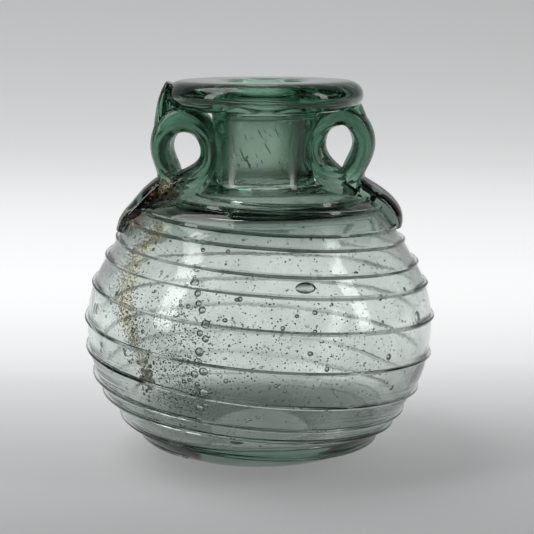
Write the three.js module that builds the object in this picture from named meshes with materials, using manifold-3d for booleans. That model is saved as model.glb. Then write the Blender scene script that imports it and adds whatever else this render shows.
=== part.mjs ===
import * as THREE from 'three';
import Module from 'manifold-3d';
import { mergeVertices } from 'three/addons/utils/BufferGeometryUtils.js';

// Glass perfume flask: a small free-blown globular oil flask with a short neck and a broad folded rim,
// two ribbed strap handles drawn from the shoulder up to the rim, each around a ring hole,
// and one fine thread of glass wound in a spiral from the foot of the neck to the base.
// Millimetres, +Z up. The origin is the middle of the underside, the side shown first faces -Y.

const wasm = await Module();
wasm.setup();

// Driving sizes of the blown body
const bodyRadius = 34.5;          // widest radius, at the belly
const shoulderHeight = 52.4;      // where the round of the shoulder turns in towards the neck
const baseRadius = 10.5;          // radius of the flat that the flask stands on
const neckRadius = 10.0;          // outside of the neck
const neckFootRise = 2.6;         // from there up to where it has become the neck
const neckFootRadius = 10.7;
const rimRadius = 19.4;
const neckLength = 13.8;          // from the foot of the neck to the underside of the rim
const rimThickness = 5.6;
const mouthRadius = 7.0;
const neckLean = 1.0;             // the neck leans this far to +X by the time it reaches the rim

const neckFootHeight = shoulderHeight + neckFootRise;
const rimTopHeight = neckFootHeight + neckLength + rimThickness;

// Wall thicknesses
const neckWall = 2.3;
const bodyWall = 1.9;
const baseWall = 3.4;

// The wound thread
const threadWidth = 1.3;
const threadHeight = 0.8;
const threadSeat = 0.15;          // clearance between the thread and the wall that it lies on

// The handles
const strapWidth = 11.5;          // across the strap, front to back
const strapThickness = 0.26 * neckLength;   // a strap is drawn thinner for a shorter neck
const tailRadius = 0.78 * bodyRadius;       // how far out on the shoulder a handle's tail reaches
const leftShift = -2.5;           // the left handle sits a little to the front
const rightShift = 2.5;           // and the right one a little to the back
const handleSeat = 0.3;           // clearance between a handle and the glass that it is laid on
const ribDepth = 0.35;            // depth of the two grooves that part the strap into three ribs
const strapSkew = 3.0;            // degrees: the back edge of each strap leans to +X

// How finely the round forms are cut
const bodySides = 36;
const wallSteps = 24;
const rimSteps = 6;
const bandSteps = 16;
const stripSteps = 8;
const tabSteps = 5;

// Free outline of the blown body: shares of the shoulder height and of the body radius
const bodyShape = [
  [0.011, 0.44], [0.038, 0.588], [0.076, 0.691], [0.134, 0.777], [0.21, 0.863], [0.305, 0.945],
  [0.4, 0.986], [0.496, 1.0], [0.592, 0.987], [0.687, 0.942], [0.782, 0.863], [0.849, 0.799],
  [0.906, 0.75], [0.945, 0.701], [0.973, 0.652], [0.99, 0.57],
];

// Where each turn of the thread crosses the front of the flask, as a share of the shoulder height,
// with the slope at which the turn falls from -X to +X
const threadTurns = [
  [1.035, 0.02], [0.993, 0.02], [0.979, 0.03], [0.913, 0.054], [0.87, 0.054], [0.785, 0.054],
  [0.721, 0.054], [0.606, 0.054], [0.467, 0.058], [0.344, 0.09], [0.245, 0.09], [0.195, 0.085],
  [0.107, 0.06], [0.052, 0.02],
];
const threadEndTurn = 12.9;

const deepGreen = new THREE.MeshStandardMaterial({ color: 0x2f6b4f, roughness: 0.12, metalness: 0 });
const paleGreen = new THREE.MeshStandardMaterial({ color: 0xb4cdb9, roughness: 0.1, metalness: 0 });
const threadGreen = new THREE.MeshStandardMaterial({ color: 0x8fb59b, roughness: 0.12, metalness: 0 });

const clamp = THREE.MathUtils.clamp;

// The lean of the neck: how far the middle of the flask has moved to +X at a height
function leanAt(height) {
  const rise = (height - shoulderHeight) / (rimTopHeight - rimThickness - shoulderHeight);
  return neckLean * clamp(rise, 0, 1);
}

// Outer wall from the rim of the standing flat up to the top of the neck, as [radius, height] points
function outerWall(grow = 0) {
  const blown = bodyShape.map(([h, r]) => new THREE.Vector2(r * bodyRadius, h * shoulderHeight));
  const neckTop = rimTopHeight - rimThickness;
  const neckFoot = [
    new THREE.Vector2(neckRadius + 0.42 * (bodyRadius * 0.57 - neckRadius), shoulderHeight * 1.006),
    new THREE.Vector2(neckFootRadius + 1.1, (shoulderHeight + neckFootHeight) / 2),
    new THREE.Vector2(neckFootRadius, neckFootHeight),
    new THREE.Vector2(neckRadius, (neckFootHeight * 0.55 + neckTop * 0.45)),
    new THREE.Vector2(neckRadius + 0.3, neckTop - 1.2),
  ];
  const flat = new THREE.Vector2(baseRadius, 0);
  const points = [flat, ...new THREE.SplineCurve([flat, ...blown, ...neckFoot]).getPoints(wallSteps).slice(1)];
  if (grow === 0) return points;
  return points.map((point, i) => {
    const before = points[Math.max(i - 1, 0)];
    const after = points[Math.min(i + 1, points.length - 1)];
    const along = after.clone().sub(before).normalize();
    return new THREE.Vector2(point.x + along.y * grow, point.y - along.x * grow);
  });
}

// The broad disc rim: a half-round edge between a flat underside and a flat top
function rimEdge(grow = 0) {
  const half = rimThickness / 2;
  const middle = rimTopHeight - half;
  const edgeDepth = half * 1.15;
  const points = [];
  for (let i = 0; i <= rimSteps; i++) {
    const turn = -Math.PI / 2 + (Math.PI * i) / rimSteps;
    points.push(new THREE.Vector2(
      rimRadius - edgeDepth + (edgeDepth + grow) * Math.cos(turn),
      middle + (half + grow) * Math.sin(turn),
    ));
  }
  return points;
}

// The hollow inside: mouth, neck and body, from the top down to the middle of the floor
function innerWall() {
  const inner = bodyShape
    .filter(([h]) => h * shoulderHeight > baseWall * 1.6 && h < 0.97)
    .map(([h, r]) => {
      const height = h * shoulderHeight;
      const low = clamp(1 - height / (bodyRadius * 0.6), 0, 1);
      return new THREE.Vector2(r * bodyRadius - bodyWall - (baseWall - bodyWall) * low, height);
    })
    .filter((_, i) => i % 2 === 0)
    .reverse();
  const neckInside = neckRadius - neckWall;
  return [
    new THREE.Vector2(mouthRadius + 0.9, rimTopHeight - 0.25),
    new THREE.Vector2(mouthRadius, rimTopHeight - 1.2),
    new THREE.Vector2(mouthRadius, rimTopHeight - rimThickness * 0.8),
    new THREE.Vector2(neckInside, rimTopHeight - rimThickness - 1.5),
    new THREE.Vector2(neckInside, neckFootHeight),
    new THREE.Vector2(neckInside + 1.2, shoulderHeight + 0.1),
    new THREE.Vector2(bodyRadius * 0.5, shoulderHeight - bodyWall * 1.35),
    ...inner,
    new THREE.Vector2(baseRadius * 1.1, baseWall * 1.25),
    new THREE.Vector2(baseRadius * 0.45, baseWall),
    new THREE.Vector2(0, baseWall),
  ];
}

// A lathe turned about Z, with the lean of the neck put in
function turned(points, sides) {
  const geometry = new THREE.LatheGeometry(points, sides);
  geometry.rotateX(Math.PI / 2);
  const position = geometry.attributes.position;
  for (let i = 0; i < position.count; i++) {
    position.setX(i, position.getX(i) + leanAt(position.getZ(i)));
  }
  return geometry;
}

// The outer wall at a height, for what is laid on it: its radius and its outward normal
const wall = outerWall();
function wallAt(height) {
  const i = clamp(wall.findIndex((point) => point.y >= height), 1, wall.length - 1);
  const [low, high] = [wall[i - 1], wall[i]];
  const part = clamp((height - low.y) / (high.y - low.y || 1), 0, 1);
  const along = high.clone().sub(low).normalize();
  return { radius: low.x + part * (high.x - low.x), normal: [along.y, -along.x] };
}

// Closed solid through rings of points: each ring is joined to the next, and the two ends are filled
function loft(rings) {
  const sides = rings[0].length;
  const positions = rings.flat().flatMap((point) => [point.x, point.y, point.z]);
  const indices = [];
  for (let ring = 0; ring + 1 < rings.length; ring++) {
    for (let side = 0; side < sides; side++) {
      const a = ring * sides + side;
      const b = ring * sides + ((side + 1) % sides);
      indices.push(a, b, a + sides, b, b + sides, a + sides);
    }
  }
  const last = (rings.length - 1) * sides;
  for (let side = 1; side + 1 < sides; side++) {
    indices.push(0, side + 1, side, last, last + side, last + side + 1);
  }
  const geometry = new THREE.BufferGeometry();
  geometry.setAttribute('position', new THREE.Float32BufferAttribute(positions, 3));
  geometry.setIndex(indices);
  return geometry;
}

// Solids for joining and cutting
function solidOf(geometry) {
  const bare = geometry.clone();
  bare.deleteAttribute('normal');
  bare.deleteAttribute('uv');
  const merged = mergeVertices(bare, 1e-4);
  const mesh = new wasm.Mesh({
    numProp: 3,
    vertProperties: new Float32Array(merged.attributes.position.array),
    triVerts: new Uint32Array(merged.index.array),
  });
  const solid = new wasm.Manifold(mesh);
  if (solid.volume() >= 0) return solid;
  mesh.triVerts = mesh.triVerts.map((_, i, all) => all[i - (i % 3) + [0, 2, 1][i % 3]]);
  return new wasm.Manifold(mesh);
}

function geometryOf(solid) {
  const mesh = solid.getMesh();
  const geometry = new THREE.BufferGeometry();
  geometry.setAttribute('position', new THREE.Float32BufferAttribute(mesh.vertProperties, 3));
  geometry.setIndex(new THREE.Uint32BufferAttribute(mesh.triVerts, 1));
  geometry.computeVertexNormals();
  return geometry;
}

// Blown body, neck and rim: one gather of glass
function makeBody() {
  const outside = [new THREE.Vector2(0, 0), ...outerWall(), ...rimEdge(), ...innerWall()];
  return geometryOf(solidOf(turned(outside, bodySides)));
}

// Filled outer form of the body and rim, grown by a clearance: what the handles are laid against
function bodyForm(clearance) {
  const rim = rimEdge(clearance);
  const outside = [new THREE.Vector2(0, -clearance), ...outerWall(clearance), ...rim];
  outside.push(new THREE.Vector2(0, rimTopHeight + clearance));
  return solidOf(turned(outside, bodySides));
}

// Height of the thread after a number of turns, and the slope of that turn
function threadHeightAt(turns) {
  const i = clamp(Math.floor(turns), 0, threadTurns.length - 2);
  const part = turns - i;
  const [height, slope] = threadTurns[i].map((value, k) => value + part * (threadTurns[i + 1][k] - value));
  return { height: height * shoulderHeight, slope };
}

// The thread: a low rounded trail laid on the wall, its foot a clearance off the glass
function makeThread(grow = 0) {
  const rings = [];
  const stepsInAll = Math.floor(threadEndTurn * bodySides);
  for (let i = 0; i <= stepsInAll; i++) {
    const turns = i / bodySides;
    const angle = -Math.PI / 2 + turns * Math.PI * 2;
    const { height: level, slope } = threadHeightAt(turns);
    const across = wallAt(level).radius * Math.cos(angle);
    const height = Math.min(level - slope * across, neckFootHeight + 1.5);
    const { radius, normal } = wallAt(height);
    const taper = clamp(Math.min(i, stepsInAll - i) / 4, 0.35, 1);
    const half = (threadWidth * taper) / 2 + grow;
    const top = threadSeat + threadHeight * taper + grow;
    const foot = (along) => {
      const level = height + normal[0] * along;
      const under = wallAt(level);
      const seat = threadSeat - grow;
      return [under.radius + under.normal[0] * seat, level + under.normal[1] * seat];
    };
    const crest = (along) => [
      radius + normal[0] * top - normal[1] * along,
      height + normal[1] * top + normal[0] * along,
    ];
    const section = [foot(-half), foot(half), crest(half * 0.5), crest(-half * 0.5)];
    rings.push(section.map(([r, z]) => (
      new THREE.Vector3(r * Math.cos(angle) + leanAt(z), r * Math.sin(angle), z)
    )));
  }
  return solidOf(loft(rings));
}

// Cross-section of a strap: rounded, with three ribs on each broad face
function strapSection(width, thickness) {
  const across = [-0.9, -0.62, -0.33, 0.33, 0.62, 0.9];
  const face = across.map((u) => {
    const round = Math.pow(1 - Math.pow(Math.abs(u), 3.2), 0.45);
    const groove = Math.abs(Math.abs(u) - 0.33) < 0.01 ? ribDepth : 0;
    return [(u * width) / 2, Math.max((thickness / 2) * round - groove, thickness * 0.15)];
  });
  const back = face.map(([w, t]) => [w, -t]).reverse();
  return [[-width / 2, 0], ...face, [width / 2, 0], ...back];
}

// Where a station stands: its reach is 0 at the neck, 1 at the edge of the rim and 2 at its tail, and its
// level is 0 at the underside, 1 at the shoulder, 2 at the foot of the neck, 3 and 4 under and on the rim
function between(marks, place) {
  const i = clamp(Math.floor(place), 0, marks.length - 2);
  return marks[i] + (place - i) * (marks[i + 1] - marks[i]);
}
const reachMarks = [neckRadius, rimRadius, tailRadius];
const levelMarks = [0, shoulderHeight, neckFootHeight, rimTopHeight - rimThickness, rimTopHeight];

// A strap swept through stations of [reach, level, thickness share, width share]
function strap(side, stations, steps, shift) {
  const places = stations.map(([reach, level]) => (
    new THREE.Vector3(between(reachMarks, reach), 0, between(levelMarks, level))
  ));
  const sizes = stations.map(([, , thickness, width]) => (
    new THREE.Vector3(thickness * strapThickness, width * strapWidth, 0)
  ));
  const path = new THREE.CatmullRomCurve3(places, false, 'centripetal');
  const size = new THREE.CatmullRomCurve3(sizes, false, 'catmullrom', 0.5);
  const skew = THREE.MathUtils.degToRad(strapSkew);
  const rings = [];
  for (let i = 0; i <= steps; i++) {
    const share = i / steps;
    const centre = path.getPoint(share);
    const tangent = path.getTangent(share);
    const { x: thickness, y: width } = size.getPoint(share);
    rings.push(strapSection(width, thickness).map(([w, t]) => new THREE.Vector3(
      side * (centre.x - tangent.z * t) + Math.sin(skew) * w,
      shift + Math.cos(skew) * w,
      centre.z + tangent.x * t,
    )));
  }
  return solidOf(loft(rings));
}

// Stations of each handle: the band runs up from the tail on the shoulder, the strip runs back down the
// neck inside the ring hole, and the tab laps up onto the rim
const leftBand = [
  [2.01, 0.86, 0.61, 0.6], [1.85, 0.91, 0.83, 0.95], [1.52, 0.94, 1.17, 1.12],
  [1.19, 0.98, 1.5, 1.15], [0.82, 1.62, 1.39, 1.08], [0.8, 2.14, 1, 1], [0.98, 2.41, 1, 1],
  [0.94, 2.64, 1.08, 1], [0.76, 2.86, 1.28, 1], [0.47, 2.89, 1.39, 1],
];
const leftStrip = [
  [0.58, 2.89, 1.33, 1], [0.15, 2.84, 1.22, 1], [-0.07, 2.47, 0.78, 1], [-0.01, 2.23, 1, 1],
  [0.25, 2, 1.5, 1.05], [0.63, 1.35, 1.56, 1.1], [0.94, 0.99, 1.28, 1.1],
];
const leftTab = [
  [0.93, 2.54, 0.94, 0.9], [0.91, 2.8, 0.94, 0.85], [0.9, 3.09, 0.72, 0.8],
  [0.88, 3.57, 0.56, 0.65], [0.78, 3.93, 0.39, 0.4],
];
const rightBand = [
  [2.06, 0.86, 0.61, 0.7], [2, 0.9, 1.11, 1], [1.72, 0.94, 1.39, 1.12], [1.37, 0.98, 1.31, 1.12],
  [0.94, 1.27, 1.39, 1], [0.9, 2.09, 1.11, 0.96], [1.09, 2.28, 1.17, 0.96],
  [1.23, 2.49, 1.14, 0.96], [1.11, 2.72, 1.11, 0.96], [0.88, 2.91, 1.06, 0.96],
  [0.61, 2.93, 1.11, 0.96],
];
const rightStrip = [
  [0.72, 2.93, 1.11, 0.96], [0.29, 2.86, 1.08, 0.96], [0.11, 2.51, 0.94, 0.96],
  [0.18, 2.26, 1.11, 0.96], [0.4, 2.03, 1.44, 1], [0.7, 1.31, 1.39, 1.05], [0.97, 0.99, 1.17, 1.1],
];
const rightTab = [
  [1.15, 2.61, 0.78, 0.9], [1.04, 2.83, 0.89, 0.85], [0.92, 3.04, 0.83, 0.7],
];

// A handle: its straps joined, less the body and thread that it is laid on
function makeHandle(side, band, strip, tab, shift) {
  const whole = strap(side, band, bandSteps, shift)
    .add(strap(side, strip, stripSteps, shift))
    .add(strap(side, tab, tabSteps, shift));
  return whole.subtract(bodyForm(handleSeat)).subtract(makeThread(handleSeat / 2));
}

function pieceOf(name, geometry, material) {
  const mesh = new THREE.Mesh(geometry, material);
  mesh.name = name;
  return mesh;
}

const flask = new THREE.Group();
flask.add(
  pieceOf('flask_body', makeBody(), paleGreen),
  pieceOf('spiral_thread', geometryOf(makeThread()), threadGreen),
  pieceOf('handle_left', geometryOf(makeHandle(-1, leftBand, leftStrip, leftTab, leftShift)), deepGreen),
  pieceOf('handle_right', geometryOf(makeHandle(1, rightBand, rightStrip, rightTab, rightShift)), deepGreen),
);

export default flask;
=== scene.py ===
# %% [markdown]
# # A glass perfume flask
# This is a small free-blown oil flask: a round body, a short neck under a broad folded rim, two
# ribbed strap handles with ring holes, and one thread of glass wound round it from neck to base.
# The CAD model holds its sizes, and this lesson makes the glass itself: the wall with its waves and
# bubbles, the deep green where it is thick, and the brown weathering that burial has left.

# %% Load the frame
import bpy
import math
import random
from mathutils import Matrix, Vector


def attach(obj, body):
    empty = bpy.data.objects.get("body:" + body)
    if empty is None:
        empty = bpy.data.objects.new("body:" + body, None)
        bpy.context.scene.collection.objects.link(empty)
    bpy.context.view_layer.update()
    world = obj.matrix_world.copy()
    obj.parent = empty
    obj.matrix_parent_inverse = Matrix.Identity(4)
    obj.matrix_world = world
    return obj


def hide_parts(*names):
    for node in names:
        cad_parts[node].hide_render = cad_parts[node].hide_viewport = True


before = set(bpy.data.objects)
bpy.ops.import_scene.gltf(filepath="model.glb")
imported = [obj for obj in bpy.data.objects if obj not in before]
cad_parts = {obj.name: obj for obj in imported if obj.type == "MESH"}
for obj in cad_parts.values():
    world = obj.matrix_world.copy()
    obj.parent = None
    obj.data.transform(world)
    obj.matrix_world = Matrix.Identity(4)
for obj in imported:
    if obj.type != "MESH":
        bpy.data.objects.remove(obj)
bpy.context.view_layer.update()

MM = 0.001

# %% [markdown]
# ## Camera
# The flask was photographed from close by, so the mouth is seen almost edge-on and the base from
# well above. The camera stands nearly four flask heights away, a little higher than the rim, and
# looks down. A small sideways shift puts the flask left of the middle.

# %% Camera
IMAGE_PIXELS = 534
AXIS_PIXEL = 259.5
CAMERA_DISTANCE = 272.0
CAMERA_HEIGHT = 87.3
CAMERA_PITCH = 10.45

camera_data = bpy.data.cameras.new("studio_camera")
camera_data.sensor_width = 36.0
camera_data.lens = 92.8
camera_data.shift_x = (IMAGE_PIXELS / 2 - AXIS_PIXEL) / IMAGE_PIXELS
camera_data.clip_start = 0.01
camera = bpy.data.objects.new("studio_camera", camera_data)
bpy.context.scene.collection.objects.link(camera)
camera.location = (0, -CAMERA_DISTANCE * MM, CAMERA_HEIGHT * MM)
camera.rotation_euler = (math.radians(90 - CAMERA_PITCH), 0, 0)
bpy.context.scene.camera = camera
print("camera at", tuple(camera.location))

# %% [markdown]
# ## Selecting before an operator
# An operator acts on everything that is selected. So each step starts with nothing selected, or
# with the one piece that it works on.

# %% Selection
def nothing_selected():
    if bpy.context.object and bpy.context.object.mode != "OBJECT":
        bpy.ops.object.mode_set(mode="OBJECT")
    bpy.ops.object.select_all(action="DESELECT")


def make_active(piece):
    nothing_selected()
    piece.select_set(True)
    bpy.context.view_layer.objects.active = piece


# %% [markdown]
# ## A smooth curve through a few points
# Blown glass has no corners. Its outline could be drawn with Bezier handles, but a curve that
# passes through every given point needs none. Its points are spread evenly, so that the faces
# come out at one size.

# %% Smooth chain
PIECES_PER_SPAN = 16


def smooth_chain(points, count):
    """Points evenly spread along a smooth curve through the given points (any dimension)."""
    points = [Vector(p) for p in points]
    ends = [points[0] * 2 - points[1]] + points + [points[-1] * 2 - points[-2]]
    fine = []
    for i in range(len(points) - 1):
        p0, p1, p2, p3 = ends[i:i + 4]
        for k in range(PIECES_PER_SPAN):
            t = k / PIECES_PER_SPAN
            fine.append(0.5 * (2 * p1 + (p2 - p0) * t + (2 * p0 - 5 * p1 + 4 * p2 - p3) * t * t
                               + (3 * p1 - p0 - 3 * p2 + p3) * t ** 3))
    fine.append(points[-1])
    lengths = [0.0]
    for a, b in zip(fine, fine[1:]):
        lengths.append(lengths[-1] + (b - a).length)
    chain = []
    j = 0
    for i in range(count + 1):
        want = lengths[-1] * i / count
        while j < len(fine) - 2 and lengths[j + 1] < want:
            j += 1
        part = (want - lengths[j]) / max(lengths[j + 1] - lengths[j], 1e-9)
        chain.append(fine[j].lerp(fine[j + 1], min(part, 1)))
    return chain


# %% [markdown]
# ## Turned forms, and fusing them
# A glassblower shapes the gather while it spins. In Blender a single point is extruded into a
# profile, and the profile is spun about the upright axis. Hot glass that touches hot glass becomes
# one, so the forms are fused by a boolean. Light then meets no hidden face between them.

# %% Turning and fusing
MERGE_WITHIN = 0.002 * MM


def closed_up(piece):
    """Merge doubled points, turn all faces outwards and count what is still open."""
    make_active(piece)
    bpy.ops.object.mode_set(mode="EDIT")
    bpy.ops.mesh.select_all(action="SELECT")
    bpy.ops.mesh.remove_doubles(threshold=MERGE_WITHIN)
    bpy.ops.mesh.normals_make_consistent(inside=False)
    bpy.ops.mesh.select_all(action="DESELECT")
    bpy.ops.mesh.select_non_manifold()
    bpy.ops.object.mode_set(mode="OBJECT")
    open_points = sum(v.select for v in piece.data.vertices)
    print(piece.name, len(piece.data.polygons), "faces,", open_points, "points on open edges")


def single_point(name, place):
    """A mesh of one point, in edit mode, ready to be extruded."""
    nothing_selected()
    bpy.ops.mesh.primitive_plane_add(size=MM, location=(0, 0, 0))
    piece = bpy.context.object
    piece.name = piece.data.name = name
    bpy.ops.object.mode_set(mode="EDIT")
    bpy.ops.mesh.select_all(action="SELECT")
    bpy.ops.mesh.merge(type="CENTER")
    bpy.ops.transform.translate(value=place)
    return piece


def spun(name, profile, steps):
    """A turned form: the profile of (radius, height) in mm is extruded point by point and spun."""
    first = profile[0]
    piece = single_point(name, (first[0] * MM, 0, first[1] * MM))
    for a, b in zip(profile, profile[1:]):
        step = ((b[0] - a[0]) * MM, 0, (b[1] - a[1]) * MM)
        bpy.ops.mesh.extrude_region_move(TRANSFORM_OT_translate={"value": step})
    bpy.ops.mesh.select_all(action="SELECT")
    bpy.ops.mesh.spin(steps=steps, angle=math.tau, center=(0, 0, 0), axis=(0, 0, 1))
    closed_up(piece)
    return piece


def joined_by(target, other, operation="UNION"):
    """Fuse one closed form into another, or cut it out, and delete the second."""
    make_active(target)
    modifier = target.modifiers.new("fuse", "BOOLEAN")
    modifier.operation = operation
    modifier.solver = "MANIFOLD"
    modifier.object = other
    bpy.ops.object.modifier_apply(modifier=modifier.name)
    bpy.data.objects.remove(other, do_unlink=True)
    print(target.name, "now has", len(target.data.polygons), "faces")


# %% [markdown]
# ## The outside of the body
# The body was blown, swung and flattened below, so its outline is a free curve, kept here as
# shares of the shoulder height and the body radius. The neck is a plain tube. The rim was folded
# out, down and in, which left it thick and round-edged.

# %% Sizes and outer outline
BODY_RADIUS = 34.5
SHOULDER_HEIGHT = 52.4
BASE_RADIUS = 10.5
NECK_RADIUS = 10.0
NECK_FOOT_HEIGHT = 55.0
NECK_FOOT_RADIUS = 10.7
RIM_RADIUS = 19.4
RIM_TOP = 74.4
RIM_THICKNESS = 5.6
RIM_ROUNDNESS = 1.15
RIM_STEPS = 18
NECK_TOP = RIM_TOP - RIM_THICKNESS

# height and radius, as shares of the shoulder height and of the body radius
BODY_SHAPE = [
    (0.011, 0.44), (0.038, 0.588), (0.076, 0.691), (0.134, 0.777), (0.21, 0.863), (0.305, 0.945),
    (0.4, 0.986), (0.496, 1.0), (0.592, 0.987), (0.687, 0.942), (0.782, 0.863), (0.849, 0.799),
    (0.906, 0.75), (0.945, 0.701), (0.973, 0.652), (0.99, 0.57),
]


def outer_points():
    blown = [(r * BODY_RADIUS, h * SHOULDER_HEIGHT) for h, r in BODY_SHAPE]
    return [(BASE_RADIUS, 0)] + blown + [
        (NECK_RADIUS + 0.42 * (BODY_RADIUS * 0.57 - NECK_RADIUS), SHOULDER_HEIGHT * 1.006),
        (NECK_FOOT_RADIUS + 1.1, (SHOULDER_HEIGHT + NECK_FOOT_HEIGHT) / 2),
        (NECK_FOOT_RADIUS, NECK_FOOT_HEIGHT),
        (NECK_RADIUS, NECK_FOOT_HEIGHT * 0.55 + NECK_TOP * 0.45),
        (NECK_RADIUS + 0.3, NECK_TOP - 1.2),
        (NECK_RADIUS + 1.6, NECK_TOP),
    ]


def rim_points():
    """A half-round edge, a little deeper than it is high."""
    half = RIM_THICKNESS / 2
    depth = half * RIM_ROUNDNESS
    ring = []
    for i in range(RIM_STEPS + 1):
        turn = -math.pi / 2 + math.pi * i / RIM_STEPS
        reach = RIM_RADIUS - depth + depth * math.cos(turn)
        ring.append(Vector((reach, RIM_TOP - half + half * math.sin(turn))))
    return ring


WALL_STEPS = 110
wall = smooth_chain(outer_points(), WALL_STEPS)
print("outer outline", len(wall), "points, widest", round(max(p.x for p in wall), 2), "mm from the axis")

# %% [markdown]
# ## The inside of the body
# The wall is about two millimetres and grows thicker into the floor, where the glass sank while
# it was soft. The real inner face can't be seen well, so it follows the outer one.

# %% Inner outline
MOUTH_RADIUS = 7.0
NECK_WALL = 2.3
BODY_WALL = 1.9
BASE_WALL = 3.4
INSIDE_STEPS = 84


def inner_points():
    inner = []
    for h, r in BODY_SHAPE:
        height = h * SHOULDER_HEIGHT
        if BASE_WALL * 1.6 < height < 0.97 * SHOULDER_HEIGHT:
            low = max(0.0, 1 - height / (BODY_RADIUS * 0.6))
            inner.append((r * BODY_RADIUS - BODY_WALL - (BASE_WALL - BODY_WALL) * low, height))
    neck_inside = NECK_RADIUS - NECK_WALL
    neck = [
        (MOUTH_RADIUS + 0.9, RIM_TOP - 0.25), (MOUTH_RADIUS + 0.15, RIM_TOP - 1.1),
        (MOUTH_RADIUS, RIM_TOP - RIM_THICKNESS * 0.6), (neck_inside, NECK_TOP - 1.5),
        (neck_inside, NECK_FOOT_HEIGHT), (neck_inside + 1.2, SHOULDER_HEIGHT + 0.1),
        (BODY_RADIUS * 0.5, SHOULDER_HEIGHT - BODY_WALL * 1.35),
    ]
    floor = [(BASE_RADIUS * 1.1, BASE_WALL * 1.25), (BASE_RADIUS * 0.45, BASE_WALL), (0, BASE_WALL)]
    return neck + inner[::-1] + floor


inside = smooth_chain([(MOUTH_RADIUS + 3.2, RIM_TOP)] + inner_points(), INSIDE_STEPS)
print("inner outline", len(inside), "points, floor at", round(inside[-1].y, 2), "mm")

# %% [markdown]
# ## One spin for the whole wall
# Outside, rim and inside make one profile that starts and ends on the axis, so one spin gives a
# closed wall. The neck of the real flask leans a little, and each point above the shoulder is
# pushed over by its share of that lean.

# %% Spin the wall
NECK_LEAN = 1.0
ROUND_STEPS = 176


def lean_at(height):
    """How far the axis lies to the right at a height, in mm."""
    rise = (height - SHOULDER_HEIGHT) / (NECK_TOP - SHOULDER_HEIGHT)
    return NECK_LEAN * min(max(rise, 0), 1)


def lean_over(piece):
    for vertex in piece.data.vertices:
        vertex.co.x += lean_at(vertex.co.z / MM) * MM


foot = [Vector((0, 0)), Vector((BASE_RADIUS * 0.5, 0))]
flask = spun("flask_glass", foot + wall + rim_points() + inside, ROUND_STEPS)
lean_over(flask)
print("body", len(flask.data.polygons), "faces")

# %% [markdown]
# ## The path of the wound thread
# A gather was touched to the neck and pulled out while the flask turned, so it left a thread in
# about thirteen uneven turns, which fall a little from left to right. The path goes over evenly
# from one turn to the next, as it would in a spring.

# %% Thread path
THREAD_END = 12.9
THREAD_OUTSIDE = 0.2
# each turn at the front: its height as a share of the shoulder height, and how steeply it falls
THREAD_TURNS = [
    (1.035, 0.02), (0.993, 0.02), (0.979, 0.03), (0.913, 0.054), (0.87, 0.054), (0.785, 0.054),
    (0.721, 0.054), (0.606, 0.054), (0.467, 0.058), (0.344, 0.09), (0.245, 0.09), (0.195, 0.085),
    (0.107, 0.06), (0.052, 0.02),
]


def wall_at(height):
    """Radius of the outer wall at a height, and its outward normal."""
    for low, high in zip(wall, wall[1:]):
        if high.y >= height:
            break
    part = min(max((height - low.y) / max(high.y - low.y, 1e-6), 0), 1)
    along = (high - low).normalized()
    return low.x + part * (high.x - low.x), (along.y, -along.x)


def thread_place(turns):
    """The middle of the thread after so many turns, just outside the face of the wall."""
    i = min(int(turns), len(THREAD_TURNS) - 2)
    part = turns - i
    share = THREAD_TURNS[i][0] + part * (THREAD_TURNS[i + 1][0] - THREAD_TURNS[i][0])
    slope = THREAD_TURNS[i][1] + part * (THREAD_TURNS[i + 1][1] - THREAD_TURNS[i][1])
    angle = -math.pi / 2 + turns * math.tau
    level = share * SHOULDER_HEIGHT
    height = min(level - slope * wall_at(level)[0] * math.cos(angle), NECK_FOOT_HEIGHT + 1.5)
    radius, normal = wall_at(height)
    radius, height = radius + normal[0] * THREAD_OUTSIDE, height + normal[1] * THREAD_OUTSIDE
    return Vector((radius * math.cos(angle) + lean_at(height), radius * math.sin(angle), height)) * MM


print("thread from", thread_place(0), "to", thread_place(THREAD_END))

# %% [markdown]
# ## The thread itself
# A curve with a round bevel is the plainest way to a thread. Its radius swells and shrinks as the
# pull changed, starts as a small blob and ends thin. It becomes a mesh and is fused into the wall.

# %% The wound thread
THREAD_RADIUS = 0.46
STEPS_PER_TURN = 176


def thread_size(turns):
    """The thickness along the thread, as a share of its usual one."""
    swell = 1 + 0.12 * math.sin(turns * 5.3) + 0.08 * math.sin(turns * 13.7)
    start = 1 + 0.5 * math.exp(-turns * 14)
    end = min(1, (THREAD_END - turns) * 3 + 0.35)
    return swell * start * end


thread_curve = bpy.data.curves.new("thread_line", "CURVE")
thread_curve.dimensions = "3D"
thread_curve.bevel_depth = THREAD_RADIUS * MM
thread_curve.bevel_resolution = 1
thread_curve.use_fill_caps = True
line = thread_curve.splines.new("POLY")
thread_steps = int(THREAD_END * STEPS_PER_TURN)
line.points.add(thread_steps)
for i in range(thread_steps + 1):
    turns = i / STEPS_PER_TURN
    line.points[i].co = (*thread_place(turns), 1)
    line.points[i].radius = thread_size(turns)
thread = bpy.data.objects.new("thread_line", thread_curve)
bpy.context.scene.collection.objects.link(thread)
make_active(thread)
bpy.ops.object.convert(target="MESH")
thread = bpy.context.object
closed_up(thread)
joined_by(flask, thread)

# %% [markdown]
# ## The section of a strap
# Each handle is a hot strap that was pressed into three ribs with two grooves between them. The
# section has half-round edges, and a soft wave across each face gives the ribs. Ribs could also be
# a bump in the material, but then the outline and the way light bends would stay smooth.

# %% Strap section
STRAP_WIDTH = 11.5
RIB_DEPTH = 0.55
SECTION_POINTS = 36
EDGE_ACROSS = 0.62
EDGE_THROUGH = 0.72


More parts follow.
